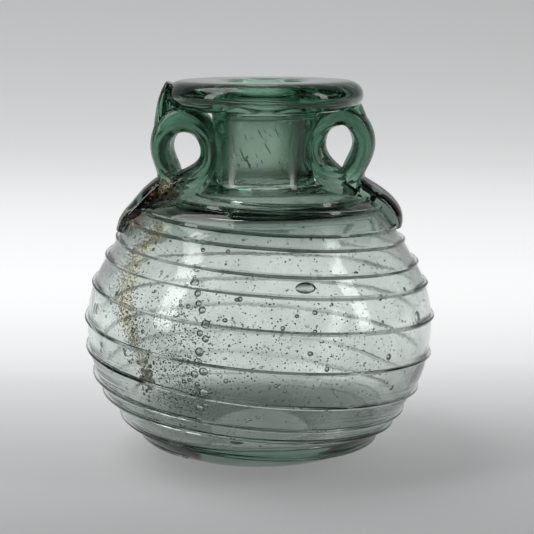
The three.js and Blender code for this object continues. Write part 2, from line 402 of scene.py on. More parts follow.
def strap_section(width, thickness):
    """Points round the section, as (across the strap, out of its middle) in mm."""
    points = []
    for i in range(SECTION_POINTS):
        turn = math.tau * i / SECTION_POINTS
        u = math.copysign(abs(math.cos(turn)) ** EDGE_ACROSS, math.cos(turn))
        v = math.copysign(abs(math.sin(turn)) ** EDGE_THROUGH, math.sin(turn))
        rib = RIB_DEPTH * (0.5 + 0.5 * math.cos(math.tau * (abs(u) * 1.5 - 0.5))) * (1 - abs(u) ** 4)
        half = max(thickness / 2 - min(rib, thickness * 0.2), 0.1)
        points.append((u * width / 2, v * half))
    return points


print("strap section", len(strap_section(STRAP_WIDTH, 3.0)), "points")

# %% [markdown]
# ## The path of a strap
# The strap was set down on the shoulder, pulled up to the rim, folded back down the neck and
# pinched in under its ring hole. Its stations are given by marks on the flask, such as the neck,
# the rim's edge or the shoulder, so the handle follows when a size changes.

# %% Marks and eased path
TAIL_RADIUS = 0.78 * BODY_RADIUS
REACH_MARKS = [NECK_RADIUS, RIM_RADIUS, TAIL_RADIUS]
LEVEL_MARKS = [0, SHOULDER_HEIGHT, NECK_FOOT_HEIGHT, NECK_TOP, RIM_TOP]
STRAP_THICKNESS = 0.26 * (NECK_TOP - NECK_FOOT_HEIGHT)
STRAP_FULLNESS = 1.14
EASING_PASSES = 10


def between(marks, place):
    """A place given as 0 at the first mark, 1 at the second, and so on."""
    i = min(int(place), len(marks) - 2) if place > 0 else 0
    return marks[i] + (place - i) * (marks[i + 1] - marks[i])


def strap_path(stations, steps):
    """Reach, level, thickness and width in mm along the strap."""
    points = []
    for reach, level, thickness, width in stations:
        points.append((
            between(REACH_MARKS, reach), between(LEVEL_MARKS, level),
            STRAP_FULLNESS * thickness * STRAP_THICKNESS, width * STRAP_WIDTH,
        ))
    path = smooth_chain(points, steps)
    # hot glass sags to an even bend, so the corners of the path are eased
    for _ in range(EASING_PASSES):
        eased = []
        for three in zip(path, path[1:], path[2:]):
            eased.append(tuple((a + 2 * b + c) / 4 for a, b, c in zip(*three)))
        path = [path[0]] + eased + [path[-1]]
    return path


print("usual strap thickness", round(STRAP_FULLNESS * STRAP_THICKNESS, 2), "mm")

# %% [markdown]
# ## A strap, ring by ring
# A ring of points is extruded from station to station along the path, and each new ring takes the
# strap's width, thickness and direction there. A curve with a bevel object would also follow the
# path, but it can't change its width and its thickness apart.

# %% Strap
STRAP_SKEW = math.radians(3.0)


def strap_rings(side, path, shift):
    """The rings of points round each station; side is -1 on the left and 1 on the right."""
    rings = []
    for i, (reach, level, thickness, width) in enumerate(path):
        before, after = path[max(i - 1, 0)], path[min(i + 1, len(path) - 1)]
        run = Vector((after[0] - before[0], after[1] - before[1])).normalized()
        ring = []
        for w, t in strap_section(width, thickness):
            x = side * (reach - run.y * t) + math.sin(STRAP_SKEW) * w
            ring.append(Vector((x, shift + math.cos(STRAP_SKEW) * w, level + run.x * t)) * MM)
        rings.append(ring)
    return rings


def strap(name, side, stations, steps, shift):
    """A closed strap extruded through its rings."""
    rings = strap_rings(side, strap_path(stations, steps), shift)
    nothing_selected()
    bpy.ops.mesh.primitive_circle_add(vertices=SECTION_POINTS, radius=MM, fill_type="NGON")
    piece = bpy.context.object
    piece.name = piece.data.name = name
    for vertex, place in zip(piece.data.vertices, rings[0]):
        vertex.co = place
    for ring in rings[1:]:
        bpy.ops.object.mode_set(mode="EDIT")
        bpy.ops.mesh.extrude_region_move()
        bpy.ops.object.mode_set(mode="OBJECT")
        for vertex, place in zip([v for v in piece.data.vertices if v.select], ring):
            vertex.co = place
    bpy.ops.object.mode_set(mode="EDIT")
    bpy.ops.mesh.select_all(action="SELECT")
    bpy.ops.mesh.normals_make_consistent(inside=False)
    bpy.ops.object.mode_set(mode="OBJECT")
    print(name, len(piece.data.polygons), "faces")
    return piece


# %% [markdown]
# ## Stations of the handles
# The band is the outer strap with its tail on the shoulder, the strip comes back down the neck, and
# the tab laps the rim. Each station is its reach and level by the marks, and its thickness and
# width as shares. The right handle reaches further out and its tab stays under the rim, because
# each was drawn by hand, so it has stations of its own instead of a mirrored copy.

# %% Stations
LEFT_BAND = [
    (2.01, 0.86, 0.61, 0.6), (1.85, 0.91, 0.83, 0.95), (1.52, 0.94, 1.17, 1.12),
    (1.19, 0.98, 1.5, 1.15), (0.82, 1.62, 1.39, 1.08), (0.8, 2.14, 1, 1), (0.98, 2.41, 1, 1),
    (0.94, 2.64, 1.08, 1), (0.76, 2.86, 1.28, 1), (0.47, 2.89, 1.39, 1),
]
LEFT_STRIP = [
    (0.58, 2.89, 1.33, 1), (0.15, 2.84, 1.22, 1), (-0.07, 2.47, 0.78, 1), (-0.01, 2.23, 1, 1),
    (0.25, 2, 1.5, 1.05), (0.63, 1.35, 1.56, 1.1), (0.94, 0.99, 1.28, 1.1),
]
LEFT_TAB = [
    (0.93, 2.54, 0.94, 0.9), (0.91, 2.8, 0.94, 0.85), (0.9, 3.09, 0.72, 0.8),
    (0.88, 3.57, 0.56, 0.65), (0.78, 3.93, 0.39, 0.4),
]
RIGHT_BAND = [
    (2.06, 0.86, 0.61, 0.7), (2, 0.9, 1.11, 1), (1.72, 0.94, 1.39, 1.12), (1.37, 0.98, 1.31, 1.12),
    (0.94, 1.27, 1.39, 1), (0.9, 2.09, 1.11, 0.96), (1.09, 2.28, 1.17, 0.96),
    (1.23, 2.49, 1.14, 0.96), (1.11, 2.72, 1.11, 0.96), (0.88, 2.91, 1.06, 0.96),
    (0.61, 2.93, 1.11, 0.96),
]
RIGHT_STRIP = [
    (0.72, 2.93, 1.11, 0.96), (0.29, 2.86, 1.08, 0.96), (0.11, 2.51, 0.94, 0.96),
    (0.18, 2.26, 1.11, 0.96), (0.4, 2.03, 1.44, 1), (0.7, 1.31, 1.39, 1.05),
    (0.97, 0.99, 1.17, 1.1),
]
RIGHT_TAB = [
    (1.15, 2.61, 0.78, 0.9), (1.04, 2.83, 0.89, 0.85), (0.92, 3.04, 0.83, 0.7),
]
print("stations of the bands", len(LEFT_BAND), "left and", len(RIGHT_BAND), "right")

# %% [markdown]
# ## The handles, fused to the flask
# A strap that is pressed on hot never comes through to the inside. So before a handle is fused to
# the flask, the hollow of the flask, made a hair larger, is cut out of it.

# %% Two handles
BAND_STEPS = 44
STRIP_STEPS = 26
TAB_STEPS = 12
HOLLOW_ROUND_STEPS = 88
HOLLOW_GROWTH = 0.25


def hollow_form():
    """The filled hollow, a hair larger than it is, to cut what would poke through the wall."""
    grown = [Vector((p.x + HOLLOW_GROWTH, p.y)) for p in inside[:-1]]
    top = [Vector((0, RIM_TOP + 1)), Vector((MOUTH_RADIUS + 2, RIM_TOP + 1))]
    form = spun("hollow_form", top + grown + [Vector((0, BASE_WALL - 0.2))], HOLLOW_ROUND_STEPS)
    lean_over(form)
    return form


for name, side, band, strip, tab, shift in [
    ("handle_left_glass", -1, LEFT_BAND, LEFT_STRIP, LEFT_TAB, -2.5),
    ("handle_right_glass", 1, RIGHT_BAND, RIGHT_STRIP, RIGHT_TAB, 2.5),
]:
    handle = strap(name, side, band, BAND_STEPS, shift)
    joined_by(handle, strap("strip", side, strip, STRIP_STEPS, shift))
    joined_by(handle, strap("tab", side, tab, TAB_STEPS, shift))
    joined_by(handle, hollow_form(), "DIFFERENCE")
    joined_by(flask, handle)

# %% [markdown]
# ## Small blobs
# Bubbles, grains and flakes are all small rounded blobs on or in the wall. Thousands of objects
# would be slow to add, so one ball is made for each fineness, its corners are copied into a store,
# and the store becomes one mesh.

# %% Blobs in and on the wall
def ball_shape(fineness):
    """The corners and faces of a ball 1 mm across, made once and copied many times."""
    bpy.ops.mesh.primitive_ico_sphere_add(subdivisions=fineness, radius=0.5)
    ball = bpy.context.object
    corners = [vertex.co.copy() for vertex in ball.data.vertices]
    faces = [tuple(face.vertices) for face in ball.data.polygons]
    bpy.ops.object.delete()
    return corners, faces


nothing_selected()
COARSE, MEDIUM, FINE = 1, 2, 3
BALLS = {fineness: ball_shape(fineness) for fineness in (COARSE, MEDIUM, FINE)}
print("faces of the balls", [len(faces) for corners, faces in BALLS.values()])


def wall_spot(across, height, depth, front=True):
    """A point in the wall and the way out of the glass there: mm across, up and below the face."""
    radius, normal = wall_at(height)
    radius, height = radius - normal[0] * depth, height - normal[1] * depth
    across = max(-radius * 0.995, min(radius * 0.995, across))
    y = math.sqrt(max(radius ** 2 - across ** 2, 0)) * (-1 if front else 1)
    out = Vector((normal[0] * across / radius, normal[0] * y / radius, normal[1]))
    return Vector((across + lean_at(height), y, height)), out.normalized()


def add_blob(store, place, wide, tall, thick, fineness=MEDIUM, turn=0):
    """Put one rounded blob into the store, turned in the plane of the face by some degrees."""
    spot, out = place
    side = Vector((0, 0, 1)).cross(out).normalized()
    rise = out.cross(side)
    c, s = math.cos(math.radians(turn)), math.sin(math.radians(turn))
    along, up = side * c + rise * s, rise * c - side * s
    corners, faces = BALLS[fineness]
    moved = [(spot + along * (v.x * wide) + up * (v.y * tall) + out * (v.z * thick)) * MM for v in corners]
    store.append((moved, faces))


def gathered(name, store, inward=False):
    """Make one mesh of all the blobs in the store; the faces of hollows look inwards."""
    corners, faces = [], []
    for blob_corners, blob_faces in store:
        first = len(corners)
        corners += blob_corners
        for face in blob_faces:
            face = face[::-1] if inward else face
            faces.append(tuple(first + i for i in face))
    mesh = bpy.data.meshes.new(name)
    mesh.from_pydata(corners, [], faces)
    whole = bpy.data.objects.new(name, mesh)
    bpy.context.collection.objects.link(whole)
    print(name, len(store), "blobs,", len(faces), "faces")
    return whole


# %% [markdown]
# ## Large bubbles
# Gas that never rose out of the melt stays in the wall as bubbles, drawn out as the wall was
# blown. A bubble is a hollow, so its skin faces inwards, into the glass round it. The large ones
# are listed one by one, in the middle of the wall.

# %% Large bubbles
MIDDLE_OF_WALL = 0.95
# across, height, width and height of the bubble, in mm
LARGE_BUBBLES = [
    (-31.3, 31.0, 1.5, 2.3), (29.6, 30.2, 2.2, 2.6), (8.2, 39.0, 3.8, 2.2), (23.6, 24.6, 1.2, 1.3),
    (-23.0, 29.8, 0.9, 1.1), (6.6, 34.3, 0.9, 0.7), (-6.1, 33.6, 1.0, 0.8), (-4.0, 37.2, 0.9, 0.8),
    (-27.0, 21.0, 1.0, 1.3), (17.5, 40.6, 1.0, 0.8), (-14.0, 12.0, 1.3, 0.9), (12.0, 16.0, 1.0, 0.8),
    (-26.5, 35.5, 0.8, 0.9), (22.0, 14.5, 1.1, 0.9), (-2.0, 14.5, 1.2, 0.8), (3.0, 21.5, 0.8, 0.8),
    (9.0, 27.4, 1.1, 0.9), (-29.5, 25.0, 0.9, 1.2), (-12.5, 22.0, 0.9, 0.8), (27.0, 36.0, 0.8, 1.0),
]
store = []
for across, height, wide, tall in LARGE_BUBBLES:
    add_blob(store, wall_spot(across, height, MIDDLE_OF_WALL), wide, tall, 0.9, FINE)
print("large bubbles", len(store))

# %% [markdown]
# ## Striae and the trail's start
# In the neck the glass was twisted, and its bubbles were drawn out into slanting streaks. Where
# the thread starts, thin lines of air run round the foot of the neck. All of them are long thin
# hollows: some listed one by one, the finer ones strewn by a random draw with a fixed seed.

# %% Striae
# across, height, width, height and slant in degrees
STRIAE = [
    (-2.2, 58.5, 0.35, 4.2, 24), (-3.6, 60.5, 0.25, 3.0, 22), (1.0, 61.8, 0.25, 2.6, 30),
    (3.8, 58.0, 0.3, 3.2, 18), (-5.4, 62.6, 0.25, 3.4, 10), (5.0, 63.0, 0.25, 2.6, -12),
    (-3.4, 55.6, 1.7, 0.8, 14), (0.5, 56.6, 7.5, 0.28, 4), (4.6, 56.0, 6.0, 0.24, -3),
    (-1.5, 55.2, 5.0, 0.24, 9), (-0.6, 64.6, 0.2, 2.0, 26), (2.4, 65.0, 0.2, 2.4, 20),
]
# start and end across, start and end height of each line of the trail
TRAIL_LINES = [(-6.0, 8.5, 54.3, 55.4), (-4.5, 9.0, 54.9, 55.2), (-6.5, 3.0, 55.6, 54.6)]
BLOBS_IN_LINE = 10
FINE_STRIAE = 60

random.seed(29)
for across, height, wide, tall, turn in STRIAE:
    add_blob(store, wall_spot(across, height, 0.9), wide, tall, 0.3, FINE, turn)
for i in range(FINE_STRIAE):
    place = wall_spot(random.uniform(-8, 8), random.uniform(56, 68), random.uniform(0.4, 1.2), i % 4 != 0)
    wide, tall = random.uniform(0.16, 0.26), random.uniform(0.4, 1.5)
    add_blob(store, place, wide, tall, 0.2, COARSE, random.uniform(12, 34))
for start, end, low, high in TRAIL_LINES:
    slant = math.degrees(math.atan2(high - low, end - start))
    for i in range(BLOBS_IN_LINE):
        share = i / (BLOBS_IN_LINE - 1)
        place = wall_spot(start + (end - start) * share, low + (high - low) * share, 0.55)
        add_blob(store, place, 1.9, 0.3, 0.3, MEDIUM, slant)
print("bubbles and striae", len(store))

# %% [markdown]
# ## Rings and seed
# A row of ring-like bubbles runs down the front left of the belly, and fine bubbles, called seed,
# are strewn all round it. One in four of the finest lies in the back wall.

# %% Rings and seed
RINGS_IN_ROW = 17
MEDIUM_BUBBLES = 70
SEED_BUBBLES = 620
SEED_SIZES = [0.2, 0.25, 0.3, 0.36, 0.5]

for i in range(RINGS_IN_ROW):
    across = -10.6 + random.uniform(-1.1, 1.1)
    height = 41.5 - i * 1.7 + random.uniform(-0.6, 0.6)
    size = random.uniform(0.9, 1.8)
    place = wall_spot(across, height, 0.9)
    add_blob(store, place, size, size * random.uniform(0.9, 1.1), 0.7, FINE)
for i in range(MEDIUM_BUBBLES):
    height = random.uniform(8, 47)
    across = wall_at(height)[0] * math.sin(random.uniform(-1.4, 0.9 if i % 3 else -0.3))
    size = random.uniform(0.5, 1.1)
    add_blob(store, wall_spot(across, height, MIDDLE_OF_WALL), size, size * random.uniform(0.8, 1.1), 0.6)
for i in range(SEED_BUBBLES):
    height = random.uniform(5, 50)
    across = wall_at(height)[0] * math.sin(random.uniform(-1.5, 1.5))
    size = random.choice(SEED_SIZES)
    place = wall_spot(across, height, random.uniform(0.5, 1.3), i % 4 != 0)
    add_blob(store, place, size * random.uniform(1, 1.7), size, size * 0.8, COARSE)
bubbles = gathered("bubbles", store, inward=True)

# %% [markdown]
# ## The seam of air in the rim
# When the rim was folded in on itself, a little air stayed in the fold, and it shows as a flat,
# uneven line all round. A torus inside the glass is pressed flat, its thickness waves round the
# rim, and its faces are turned inwards because it is a hollow.

# %% Rim seam
SEAM_RADIUS = 15.8 * MM
SEAM_HALF_WIDTH = 1.0 * MM
SEAM_HEIGHT = 71.3
SEAM_WIDENING = 1.5
SEAM_FLATNESS = 0.28
SEAM_WAVE = 0.3 * MM

nothing_selected()
bpy.ops.mesh.primitive_torus_add(
    major_radius=SEAM_RADIUS, minor_radius=SEAM_HALF_WIDTH, major_segments=144, minor_segments=12
)
seam = bpy.context.object
seam.name = "rim_seam"
for vertex in seam.data.vertices:
    x, y, z = vertex.co
    angle = math.atan2(y, x)
    swell = 1.0 + 0.35 * math.sin(3 * angle + 0.5) + 0.25 * math.sin(7 * angle)
    radius = SEAM_RADIUS + (math.hypot(x, y) - SEAM_RADIUS) * SEAM_WIDENING * swell
    height = SEAM_HEIGHT * MM + z * SEAM_FLATNESS * swell + SEAM_WAVE * math.sin(2 * angle + 1)
    vertex.co = (radius * math.cos(angle) + lean_at(SEAM_HEIGHT) * MM, radius * math.sin(angle), height)
make_active(seam)
bpy.ops.object.mode_set(mode="EDIT")
bpy.ops.mesh.select_all(action="SELECT")
bpy.ops.mesh.flip_normals()
bpy.ops.object.mode_set(mode="OBJECT")
print("seam", len(seam.data.polygons), "faces")

# %% [markdown]
# ## All hollows into the glass
# A hollow needs no boolean when it lies wholly inside the glass: its faces only have to belong to
# the same mesh. Edges sharper than a set angle stay sharp, and all others are shaded smooth.

# %% Join the hollows to the glass
SHARP_FROM = math.radians(38)


def joined_to(target, *others):
    """Put the meshes into one without touching their faces."""
    nothing_selected()
    for piece in (*others, target):
        piece.select_set(True)
    bpy.context.view_layer.objects.active = target
    bpy.ops.object.join()


joined_to(bubbles, seam)
joined_to(flask, bubbles)
make_active(flask)
bpy.ops.object.shade_smooth_by_angle(angle=SHARP_FROM)
print("glass", len(flask.data.polygons), "faces")

# %% [markdown]
# ## Helpers for materials
# A material is a tree of small nodes. Each helper below adds one node and feeds it from numbers or
# from the outputs of other nodes, so a formula in the material reads like a formula in Python.

# %% Node helpers
FIRST_COLOUR, SECOND_COLOUR, MIXED_COLOUR = 6, 7, 2


def feed(tree, socket, value):
    """Link an output to the socket, or set the socket to a plain value."""
    if isinstance(value, bpy.types.NodeSocket):
        tree.links.new(value, socket)
    else:
        socket.default_value = value


def node_of(tree, kind, operation, values):
    node = tree.nodes.new(kind)
    node.operation = operation
    for socket, value in zip(node.inputs, values):
        feed(tree, socket, value)
    return node


def math_of(tree, operation, *values):
    return node_of(tree, "ShaderNodeMath", operation, values).outputs["Value"]


def vector_of(tree, operation, *values):
    node = node_of(tree, "ShaderNodeVectorMath", operation, values)
    return node.outputs["Value" if operation == "DISTANCE" else "Vector"]


def ranged(tree, value, low, high, start=0.0, end=1.0, kind="LINEAR"):
    """Goes from start to end while the value goes from low to high, and stays level beyond."""
    node = tree.nodes.new("ShaderNodeMapRange")
    node.interpolation_type = kind
    limits = {"Value": value, "From Min": low, "From Max": high, "To Min": start, "To Max": end}
    for name, limit in limits.items():
        feed(tree, node.inputs[name], limit)
    return node.outputs["Result"]


def noise_of(tree, place, scale, detail):
    node = tree.nodes.new("ShaderNodeTexNoise")
    node.inputs["Scale"].default_value = scale
    node.inputs["Detail"].default_value = detail
    tree.links.new(place, node.inputs["Vector"])
    return node.outputs["Fac"]


def ramp_of(tree, value, stops):
    """A colour ramp with one element for each (position, colour)."""
    node = tree.nodes.new("ShaderNodeValToRGB")
    elements = node.color_ramp.elements
    while len(elements) < len(stops):
        elements.new(0.5)
    for element, (position, colour) in zip(elements, stops):
        element.position = position
        element.color = (*colour, 1)
    tree.links.new(value, node.inputs["Fac"])
    return node


def colour_between(tree, share, first, second):
    """The first colour, or the second one where the share is 1."""
    node = tree.nodes.new("ShaderNodeMix")
    node.data_type = "RGBA"
    feed(tree, node.inputs["Factor"], share)
    feed(tree, node.inputs[FIRST_COLOUR], first)
    feed(tree, node.inputs[SECOND_COLOUR], second)
    return node.outputs[MIXED_COLOUR]


def new_material(name):
    """A material, its node tree, its main shader, and the place on the object in metres."""
    material = bpy.data.materials.new(name)
    material.use_nodes = True
    tree = material.node_tree
    place = tree.nodes.new("ShaderNodeTexCoord").outputs["Object"]
    print("material", name)
    return material, tree, tree.nodes["Principled BSDF"], place


# %% [markdown]
# ## Clear glass with its green in the depth
# Glass of this age owes its green to iron in the sand. The tint is in the depth of the glass, not
# on its face: a thin wall is nearly colourless and a thick rim is deep green. So the volume behind
# the face soaks up red first, then blue.

# %% Glass and its depth
glass, tree, shader, place = new_material("old_green_glass")
shader.inputs["IOR"].default_value = 1.5
shader.inputs["Transmission Weight"].default_value = 1.0
absorption = tree.nodes.new("ShaderNodeVolumeAbsorption")
absorption.inputs["Color"].default_value = (0.36, 0.62, 0.50, 1)
absorption.inputs["Density"].default_value = 60.0
tree.links.new(absorption.outputs["Volume"], tree.nodes["Material Output"].inputs["Volume"])

split = tree.nodes.new("ShaderNodeSeparateXYZ")
tree.links.new(place, split.inputs["Vector"])
upwards = split.outputs["Z"]
aside = math_of(tree, "ABSOLUTE", split.outputs["X"])
print("glass nodes so far", len(tree.nodes))

# %% [markdown]
# ## A tint by height, with painted shade at the floor
# The glass is darkest at the floor, which is painted shade for the shadowed floor seen through
# the base. Shoulder and neck are a darker grey-green, while the belly is almost clear. A colour
# ramp over the height tints what passes through, and a soft noise mottles it.

# %% Film and mottling
# height in mm, and the share of red, green and blue let through; the darkest stops, at the floor, are
# painted shade
HEIGHT_TINT = [
    (0.0, (0.18, 0.21, 0.19)), (2.8, (0.26, 0.30, 0.28)), (4.5, (0.50, 0.54, 0.51)),
    (8.5, (0.94, 0.955, 0.94)), (16.0, (0.975, 0.985, 0.975)), (30.0, (0.975, 0.985, 0.975)),
    (37.0, (0.90, 0.92, 0.905)), (44.0, (0.85, 0.875, 0.86)), (48.5, (0.32, 0.39, 0.35)),
    (54.0, (0.64, 0.71, 0.65)), (66.0, (0.60, 0.72, 0.64)), (74.4, (0.46, 0.64, 0.53)),
]
rise = ranged(tree, upwards, 0.0, RIM_TOP * MM)
height_tint = ramp_of(tree, rise, [(height / RIM_TOP, colour) for height, colour in HEIGHT_TINT])
mottle = ranged(tree, noise_of(tree, place, 170.0, 5.0), 0.35, 0.75, 1.0, 0.86)
print("film stops", len(HEIGHT_TINT))

# %% [markdown]
# ## Fine lines round the ring holes
# The ribs were drawn out into fine lines that follow the strap round each hole. The distance from
# the middle of the hole, made to wander by a noise, goes into a sine. The lines fade out away from
# the strap and below the rim.

# %% Strap lines
HOLE_REACH = 15.0
HOLE_HEIGHT = 61.0
LINE_SPACING = 1.25

flat_place = tree.nodes.new("ShaderNodeCombineXYZ")
tree.links.new(aside, flat_place.inputs["X"])
tree.links.new(upwards, flat_place.inputs["Z"])
hole_middle = (HOLE_REACH * MM, 0, HOLE_HEIGHT * MM)
from_hole = vector_of(tree, "DISTANCE", flat_place.outputs["Vector"], hole_middle)
wander = math_of(tree, "MULTIPLY_ADD", noise_of(tree, place, 200.0, 2.0), 1.4 * MM, from_hole)
lines = math_of(tree, "SINE", math_of(tree, "MULTIPLY", wander, math.tau / (LINE_SPACING * MM)))
near_hole = ranged(tree, from_hole, 5.5 * MM, 8.5 * MM, 1.0, 0.0)
below_rim = ranged(tree, upwards, 65.0 * MM, 67.0 * MM, 1.0, 0.0)
on_strap = math_of(tree, "MULTIPLY", near_hole, below_rim)
strap_lines = math_of(tree, "MULTIPLY", lines, on_strap)
print("lines", LINE_SPACING, "mm apart round", HOLE_REACH, HOLE_HEIGHT)

# %% [markdown]
# ## Deep green handles, and painted shade at the sides
# The handles and the ends of the rim are darker than the neck between them. The tint grows with
# the way out from the middle. On the thick handles it is their real deep green, and on the sides
# of the neck and the ends of the rim it is painted shade. It starts above the shoulder and is a
# little weaker along the fine lines.

# %% Deep tint
# deep green of the thick handles, and painted shade on the sides of the neck and the ends of the rim
DEEP_GREEN_AND_SHADE = (0.13, 0.30, 0.20, 1)

off_middle = ranged(tree, aside, 2.5 * MM, 9.0 * MM, kind="SMOOTHSTEP")
above_shoulder = ranged(tree, upwards, 51.0 * MM, 56.0 * MM)
sides_above_shoulder = math_of(tree, "MULTIPLY", off_middle, above_shoulder)
line_weight = math_of(tree, "MULTIPLY_ADD", strap_lines, 0.13, 0.87)
green_and_shade_share = math_of(tree, "MULTIPLY", sides_above_shoulder, line_weight)
green_and_shade_tint = colour_between(tree, green_and_shade_share, (1, 1, 1, 1), DEEP_GREEN_AND_SHADE)
tinted = vector_of(tree, "MULTIPLY", height_tint.outputs["Color"], green_and_shade_tint)
colour = vector_of(tree, "MULTIPLY", tinted, mottle)
print("glass nodes so far", len(tree.nodes))

# %% [markdown]
# ## Stains
# Rust lies in the hollows of the left handle, a yellow streak runs down the left of the belly, and
# grey clouds lie beside it. Each stain is a ball with a ragged edge: inside it the tint of the
# glass is changed, and a chain of such balls makes the streak.

# %% Stains
def stained(colour, centre, radius, stain):
    """Lay a ragged stain over the colour, round a centre in mm."""
    away = vector_of(tree, "DISTANCE", place, [c * MM for c in centre])
    ragged = math_of(tree, "MULTIPLY_ADD", noise_of(tree, place, 900.0, 4.0), radius * 1.6 * MM, away)
    share = ranged(tree, ragged, radius * 1.25 * MM, radius * 1.65 * MM, 1.0, 0.0)
    return colour_between(tree, share, colour, (*stain, 1))


# centre, radius and colour of the rust and of the olive patches in the neck
STAINS = [
    ((-18.3, -8.0, 53.6), 3.4, (0.60, 0.38, 0.22)), ((-24.0, -8.0, 48.6), 3.6, (0.55, 0.33, 0.24)),
    ((4.0, -10.0, 57.5), 3.4, (0.50, 0.56, 0.36)), ((-4.0, -10.0, 62.0), 3.0, (0.62, 0.70, 0.56)),
]
# across, height and radius of the stains in the wall, and with the clouds their colour
YELLOW = (0.88, 0.84, 0.70)
YELLOW_STAINS = [
    (-18.6, 47.0, 3.4), (-20.6, 44.4, 3.2), (-22.6, 41.6, 3.4), (-24.0, 38.6, 3.4),
    (-24.6, 35.4, 3.4), (-24.2, 32.2, 3.2), (-23.0, 29.0, 3.0),
]
CLOUDS = [(-17.0, 28.0, 9.5, (0.78, 0.79, 0.76)), (-13.0, 19.0, 8.0, (0.80, 0.82, 0.79))]
for centre, radius, stain in STAINS:
    colour = stained(colour, centre, radius, stain)
for across, height, radius, stain in [(*row, YELLOW) for row in YELLOW_STAINS] + CLOUDS:
    colour = stained(colour, wall_spot(across, height, 1.0)[0], radius, stain)
tree.links.new(colour, shader.inputs["Base Color"])
print("stains", len(STAINS) + len(YELLOW_STAINS) + len(CLOUDS))

# %% [markdown]
# ## Haze
# Burial has etched the surface, so it is a little hazy in patches, which a slow noise in the
# roughness gives. The neck is duller than the belly, and the rim is bright again.

# %% Roughness
CLEAREST, HAZIEST = 0.03, 0.13
NECK_FROST = 0.2

haze = ranged(tree, noise_of(tree, place, 60.0, 4.0), 0.4, 0.8, CLEAREST, HAZIEST)
frosted_neck = ranged(tree, upwards, 55.0 * MM, 58.0 * MM, 0.0, NECK_FROST)
below_fold = ranged(tree, upwards, 64.0 * MM, 69.0 * MM, 1.0, 0.0)
roughness = math_of(tree, "MULTIPLY_ADD", frosted_neck, below_fold, haze)
tree.links.new(roughness, shader.inputs["Roughness"])
print("roughness from", CLEAREST, "to", HAZIEST + NECK_FROST)

# %% [markdown]
# ## Waves, pits and ribs
# Blown glass is never quite even. Three bumps too shallow to need geometry lie over one another:
# soft waves, fine pits and the lines of the straps.

# %% Bumps
def bumped(height, strength, distance, under=None):
    """One layer of bump, on top of the layer under it."""
    node = tree.nodes.new("ShaderNodeBump")
    node.inputs["Strength"].default_value = strength
    node.inputs["Distance"].default_value = distance * MM
    tree.links.new(height, node.inputs["Height"])
    if under is not None:
        tree.links.new(under, node.inputs["Normal"])
    return node.outputs["Normal"]


waves = bumped(noise_of(tree, place, 90.0, 2.0), 0.15, 0.4)
pits = bumped(noise_of(tree, place, 1500.0, 2.0), 0.08, 0.05, waves)
ribs = bumped(math_of(tree, "MULTIPLY", strap_lines, sides_above_shoulder), 0.5, 0.1, pits)
tree.links.new(ribs, shader.inputs["Normal"])
print("glass nodes", len(tree.nodes))

# %% [markdown]
# ## The glass and the frame
# Body, thread and handles are four parts in the CAD model and one fused glass here, so this piece
# takes the place of all four and rides on the one body that there is.

# %% Glass in the frame
flask.data.materials.clear()
flask.data.materials.append(glass)
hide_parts("flask_body", "spiral_thread", "handle_left", "handle_right")
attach(flask, "root")
print(flask.name, "has the material", glass.name)

# %% [markdown]
# ## Weathering inside: the streak
# A streak of yellow-brown weathering runs down the inside of the left wall. Each grain is a small
# crumb on the inner face, strewn along the streak by a random draw with a fixed seed.

# %% Streak
STREAK = [(-18.5, 47.8), (-22.4, 43.5), (-24.6, 38.6), (-24.4, 33.6), (-22.4, 27.6), (-19.8, 20.2)]
STREAK_STEPS = 60
STREAK_GRAINS = 2400
INNER_FACE = BODY_WALL + 0.1
GRAIN_THICKNESS = 0.1

random.seed(41)
streak = smooth_chain(STREAK, STREAK_STEPS)
crumbs = []
for i in range(STREAK_GRAINS):
    share = random.random()
    centre = streak[int(share * STREAK_STEPS)]
    spread = 0.5 + 0.9 * math.sin(share * math.pi)
    size = random.choice([0.1, 0.14, 0.2, 0.28])
    spot = wall_spot(centre.x + random.gauss(0, spread), centre.y + random.gauss(0, 0.8), INNER_FACE)
    wide, tall = size * random.uniform(0.7, 1.4), size * random.uniform(0.8, 1.8)
    add_blob(crumbs, spot, wide, tall, GRAIN_THICKNESS, COARSE)
streak_crumbs = gathered("weathering_streak", crumbs)

# %% [markdown]
# ## Weathering inside: the specks
# A cloud of grey specks lies beside the streak and a thinner one on the right, with dark spots at
# the foot of the streak and two thick crusts near the floor. A normal draw gives a cloud that is
# dense in the middle and thin at its edge.

# %% Specks
LOWEST_SPECK, HIGHEST_SPECK = 8, 46
LOOSE_SPECKS = 1300
DARK_SPOTS = 70
# across, height and size of the thick crusts
CRUSTS = [(-4.1, 8.2, 2.0), (-12.0, 4.9, 1.6)]


def cloud(middle, spread, count, sizes, widest):
    """Strew specks round a middle, given across and up in mm."""
    for i in range(count):
        across, height = random.gauss(middle[0], spread[0]), random.gauss(middle[1], spread[1])
        if not LOWEST_SPECK < height < HIGHEST_SPECK:
            continue
        size = random.choice(sizes)
        spot = wall_spot(across, height, INNER_FACE)
        add_blob(crumbs, spot, size * random.uniform(0.8, widest), size, GRAIN_THICKNESS, COARSE)


